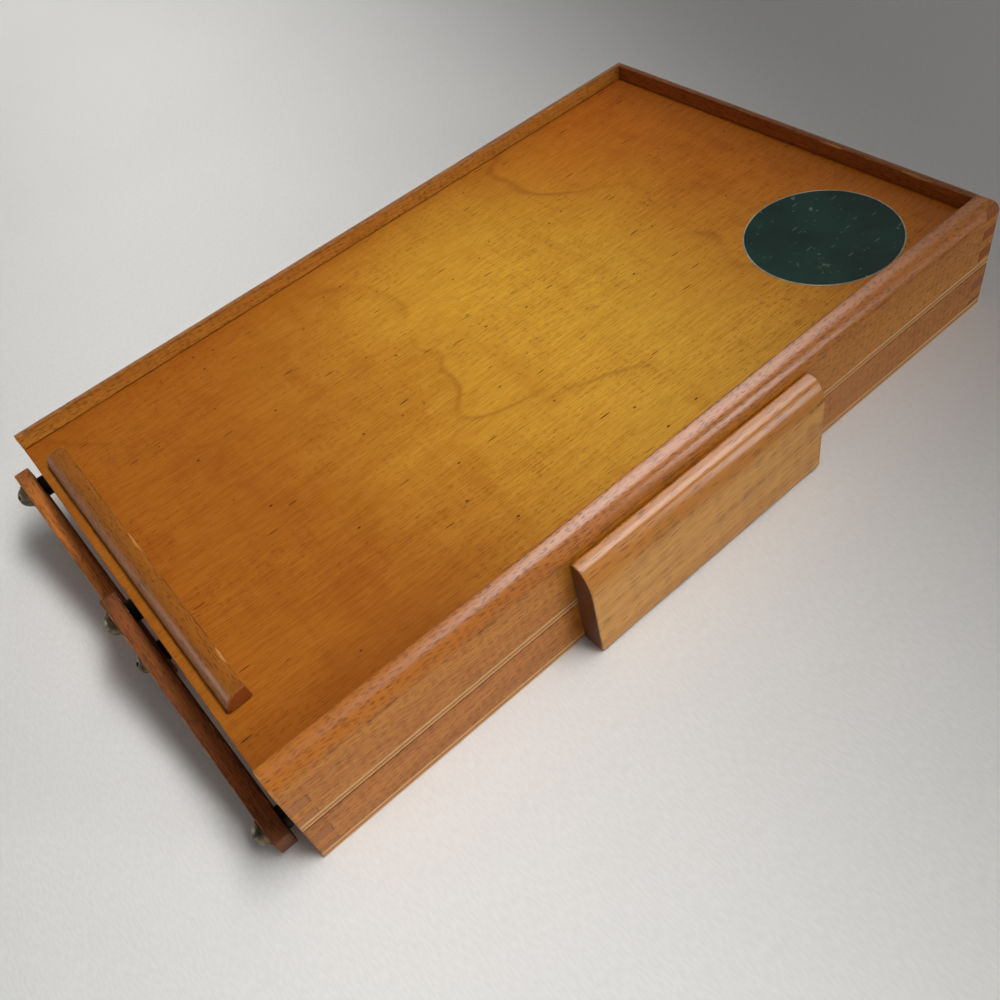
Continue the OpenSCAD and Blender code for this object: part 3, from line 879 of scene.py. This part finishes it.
def lid_wood():
    material, place, figure = surface("lid_varnish", 0.4, (0.0, 0.0, math.radians(1.5)))
    along, across = parts_of(place)[:2]
    # Painted light: the lid is golden through its middle and deeper orange towards its ends and its rear,
    # partly its varnish worn thin, partly a painted pool of light.
    drift = cloud(figure, (9, 16, 9), 3, 0.5)
    golden = rise(along + (drift - 0.5) * 0.1 - across * 0.1, -0.11, 0.02)
    golden = golden * (1 - 0.55 * rise(across, 0.02, 0.1))
    tint = blend(golden, colour(174, 104, 29), colour(230, 172, 55))
    tint = blend(rise(along + (drift - 0.5) * 0.06, 0.03, 0.15) * 0.9, tint, colour(208, 114, 22))
    streak = cloud(figure, (10, 190, 190), 3, 0.6)
    fibre = cloud(figure, (100, 2000, 2000), 3, 0.65)
    tint = blend(rise(streak, 0.62, 0.3) * 0.25, tint, colour(232, 212, 180), "MULTIPLY")
    tint = blend(rise(fibre, 0.62, 0.34) * 0.7, tint, colour(224, 206, 172), "MULTIPLY")
    mottle = cloud(figure, (95, 40, 40), 3)
    tint = blend(rise(mottle, 0.45, 0.75) * 0.5, tint, colour(232, 216, 196), "MULTIPLY")
    crowd = cloud(figure, (14, 30, 14), 2)
    short_pores = flecks(figure, (300, 2300, 2300), 0.32, 0.5)
    long_pores = flecks(figure, (120, 2400, 2400), 0.3, 0.3)
    dashes = most(short_pores, long_pores) * (0.35 + 0.65 * rise(crowd, 0.35, 0.6))
    tint = blend(dashes * 0.75, tint, colour(164, 126, 76), "MULTIPLY")
    hill = along * 9 + cloud(figure, (8, 15, 8), 1.5, 0.5, 0.4) * 3.2
    ring = hill.math("FRACT", hill)
    vein = rise(abs(ring - 0.5), 0.05, 0.0) + rise(ring, 0.3, 0.5) * rise(ring, 0.53, 0.49) * 0.5
    faint = rise(cloud(figure, (13, 21, 13), 2), 0.4, 0.6)
    tint = blend(vein * faint * 0.28, tint, colour(140, 70, 12))
    specks = flecks(figure, (120, 230, 230), 0.1, 0.3)
    nicks = flecks(figure, (90, 800, 800), 0.25, 0.1)
    tint = blend(most(specks, nicks) * 0.9, tint, colour(48, 20, 6))
    # Grime and painted shade: the lid darkens in strips along the rear wall, the front wall and the right
    # end, partly dirt in the corners, partly painted shade cast by the walls.
    far_side = rise(across, lid_high.y - 0.02, lid_high.y) * 0.3
    near_grime_and_shade = 0.06 + rise(along, -0.05, -0.12) * 0.4
    near_side = rise(across, lid_low.y + 0.03, lid_low.y + 0.004) * near_grime_and_shade
    far_end = rise(along, lid_high.x - 0.03, lid_high.x) * 0.25
    tint = blend(most(most(far_side, near_side), far_end), tint, colour(128, 62, 12))
    roughness = 0.42 + drift * 0.12 + dashes * 0.1
    height = fibre * 0.2 - dashes * 0.8 - specks
    return varnished(material, place, tint, roughness, height, 0.00007, 0.0, 0.3, 0.08)


lid = board("lid_sheet", lid_low, lid_high)
ease(lid, 0.0005, 3)
fit(lid, "lid", "lid_panel", "lid_plywood", lid_wood())


# The finger pull is a strip of beech, rounded on the side that faces out and square behind,
# glued across the lid near its open end. Fingers have rubbed its square edge down to bare wood.

pull_foot = 0.0002
pull_far_rounding = 0.0045
pull_low, pull_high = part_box("lid_finger_pull")
pull = board("pull_strip", pull_low, pull_high)


def outer_top_of_pull(first, second):
    return min(first.z, second.z) > pull_high.z - hair and max(first.x, second.x) < pull_low.x + hair


choose_edges(pull, outer_top_of_pull)
bpy.ops.mesh.bevel(offset=pull_high.z - pull_low.z - pull_foot, segments=14, profile=0.5, affect="EDGES")
bpy.ops.object.mode_set(mode="OBJECT")
slack = Vector((margin, margin, margin))
round_end = board("round_end", pull_low - slack, Vector((pull_high.x + margin, pull_high.y, pull_high.z)))
far_top = pull_high.y + pull_high.z - hair
choose_edges(round_end, lambda first, second: min(first.y + first.z, second.y + second.z) > far_top)
bpy.ops.mesh.bevel(offset=pull_far_rounding, segments=8, profile=0.5, affect="EDGES")
bpy.ops.object.mode_set(mode="OBJECT")
cut(pull, round_end, "INTERSECT")
ease(pull, 0.0006, 3)
pull_wood = {
    "pale": colour(166, 100, 30),
    "deep": colour(142, 78, 20),
    "end": colour(156, 82, 36),
    "crown": colour(158, 92, 24),
    "lot": 17,
    "knocks": [((pull_high.x, 0.008, pull_high.z), 0.008), ((pull_high.x, -0.055, pull_high.z), 0.006)],
    "gloss": 0.5,
}
wood = beech("pull_beech", pull_low, pull_high, 1, **pull_wood)
fit(pull, "lid", "lid_finger_pull", "pull_wood", wood)


# A round paper label is pasted on the lid: plain dark green with a thin pale rim,
# rubbed and scratched by years of use.

def label_paper(low, high):
    material, place, figure = surface("label_print")
    middle = (low + high) / 2
    radius = (high.x - low.x) / 2
    across = parts_of(place)[0] - middle.x
    along = parts_of(place)[1] - middle.y
    squared = across * across + along * along
    out = squared.math("SQRT", squared) / radius
    green = colour(26, 58, 48)
    cream = colour(198, 190, 160)
    patch = cloud(figure, (60, 60, 60), 3)
    tint = blend(rise(patch, 0.35, 0.65), colour(18, 44, 37), green)
    rim = rise(out + (patch - 0.5) * 0.012, 0.98, 0.988)
    tint = blend(rim, tint, cream)
    rub = cloud(figure, (160, 160, 160), 5, 0.7)
    scuffs = rise(rub, 0.62, 0.72) * rise(patch, 0.45, 0.6)
    tint = blend(scuffs * 0.55, tint, colour(150, 156, 140))
    dust = flecks(figure, (520, 520, 520), 0.3, 0.22) * rise(cloud(figure, (90, 90, 90), 2), 0.38, 0.62)
    hairs = flecks(figure, (160, 900, 900), 0.3, 0.12)
    tint = blend(most(dust, hairs) * 0.4, tint, colour(120, 142, 132))
    torn = rise(out + rub * 0.12, 1.045, 1.06)
    tint = blend(torn * 0.7, tint, colour(126, 128, 122))
    roughness = 0.56 + patch * 0.15 + scuffs * 0.15
    return varnished(material, place, tint, roughness, rub * 0.4 - scuffs, 0.00004, 0.0, 0.3, 0.1)


low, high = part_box("lid_label")
middle = (low + high) / 2
radius = (high.x - low.x) / 2
label = drill("label_disc", (middle.x, middle.y, low.z), (0, 0, 1), high.z - low.z, radius, sides=160)
ease(label, 0.00005, 2)
fit(label, "lid", "lid_label", "label_paper", label_paper(low, high))


# The box stands on a pale cloth that runs out of the picture on all sides.
# Far off, past the box and its shadow, it goes over into the plain pale tone of the background.

background = colour(212, 211, 208)


def seen(field, also_mirrored):
    """1 where the camera looks, straight or by way of a gloss, and 0 for light that lands on things."""
    path = field.node("ShaderNodeLightPath")
    mirrored = Field(field.tree, path.socket.node.outputs["Is Glossy Ray"])
    return most(path, mirrored) if also_mirrored else path


def cloth():
    material, place, figure = surface("floor_cloth")
    patch = cloud(figure, (3, 3, 3), 2)
    weave = cloud(figure, (1300, 320, 100), 1)
    tint = blend(rise(patch, 0.3, 0.7), colour(232, 231, 228), colour(236, 235, 232))
    tint = blend(rise(weave, 0.3, 0.7) * 0.5, tint, colour(246, 246, 245), "MULTIPLY")
    bump = place.node("ShaderNodeBump", {}, {"Strength": 0.3, "Distance": 0.0002, "Height": weave})
    sockets = {"Base Color": tint, "Roughness": 0.9, "Normal": bump, "Specular IOR Level": 0.0}
    shader = place.node("ShaderNodeBsdfPrincipled", {}, sockets)
    across, along = parts_of(place)[:2]
    squared = across * across + along * along
    away = squared.math("SQRT", squared)
    front_right = across * 0.546 - along * 0.838
    rear_right = across * 0.888 + along * 0.459
    rear_left = along * 0.344 - across * 0.939
    beside = most(rise(front_right, 0.38, 0.63), rise(front_right, 0.2, 0.36) * rise(across, 0.19, 0.27))
    beside = most(beside, rise(rear_right, 0.365, 0.48))
    beside = most(beside, rise(rear_left, 0.5, 0.64))
    far = most(rise(away, 0.42, 0.8), beside) * seen(place, True)
    plain = place.node("ShaderNodeEmission", {}, {"Color": background, "Strength": 1.0})
    whole = place.node("ShaderNodeMixShader", {}, {0: far, 1: shader, 2: plain})
    place.node("ShaderNodeOutputMaterial", {}, {"Surface": whole})
    return material


floor_radius = 6.0
floor_level = -0.0003
bpy.ops.object.select_all(action="DESELECT")
bpy.ops.mesh.primitive_circle_add(
    vertices=96, radius=floor_radius, fill_type="NGON", location=(0, 0, floor_level)
)
floor = settle(bpy.context.object)
floor.name = "floor"
floor.data.materials.append(cloth())


# Soft light: a long softbox overhead with a grid that keeps its light off the right, a panel high on
# the right and a card low at the left rear that only show as gloss, a low fill from the front right, and
# a dim sky that is palest low on the left. The camera sees the plain background in the sky's place.

def lamp(name, spot, aim, width, depth, watts, spread=180, along=(0, 1, 0)):
    data = bpy.data.lights.new(name, "AREA")
    data.shape = "RECTANGLE"
    data.size = width
    data.size_y = depth
    data.energy = watts
    data.spread = math.radians(spread)
    made = bpy.data.objects.new(name, data)
    made.location = spot
    back = (Vector(spot) - Vector(aim)).normalized()
    right = Vector(along).cross(back).normalized()
    made.rotation_euler = Matrix((right, back.cross(right), back)).transposed().to_euler()
    made.visible_camera = False
    bpy.context.scene.collection.objects.link(made)
    return made


softbox = lamp("softbox", (0.2, -0.06, 0.74), (-0.112, 0.155, 0.0), 0.14, 1.8, 1.79, 54, (0.3, 0.95, 0))
softbox.visible_glossy = False
panel = lamp("panel", (0.46, -0.2, 1.0), (0.0, -0.1, 0.0), 0.56, 1.0, 14.0)
panel.visible_diffuse = False
card = lamp("card", (-1.15, 0.62, 0.15), (-0.15, 0.0, 0.05), 0.5, 0.4, 2.0)
card.visible_diffuse = False
lamp("fill", (0.65, -1.08, 0.09), (0.05, 0.0, 0.03), 1.0, 0.16, 6.1)
world = bpy.data.worlds.new("studio")
world.use_nodes = True
world.node_tree.nodes.clear()
sky = Field(world.node_tree, world.node_tree.nodes.new("ShaderNodeTexCoord").outputs["Generated"])
side, _, height = parts_of(sky)
strength = 0.16 + 0.4 * rise(height, 0.4, 0.0) * rise(side, 0.4, -0.6)
light = sky.node("ShaderNodeBackground", {}, {"Color": (1, 1, 1, 1), "Strength": strength})
plain = sky.node("ShaderNodeBackground", {}, {"Color": background, "Strength": 1.0})
whole = sky.node("ShaderNodeMixShader", {}, {0: seen(sky, False), 1: light, 2: plain})
sky.node("ShaderNodeOutputWorld", {}, {"Surface": whole})
bpy.context.scene.world = world
bpy.context.scene.view_settings.view_transform = "Standard"


# The camera looks down on the box from its front left corner, tipped a little to one side.
# Its place, turn and lens were solved from where the corners of the box lie in the picture.

eye = Vector((-0.15204, -0.25513, 0.28804))
aim = Vector((-0.05417, -0.06719, 0.0444))
roll = math.radians(-15.985)
lens = bpy.data.cameras.new("camera")
lens.lens = 35.37
lens.sensor_width = 36
lens.clip_start = 0.01
camera = bpy.data.objects.new("camera", lens)
bpy.context.scene.collection.objects.link(camera)
camera.location = eye
camera.rotation_mode = "QUATERNION"
camera.rotation_quaternion = (aim - eye).to_track_quat("-Z", "Y") @ Quaternion((0, 0, 1), roll)
bpy.context.scene.camera = camera
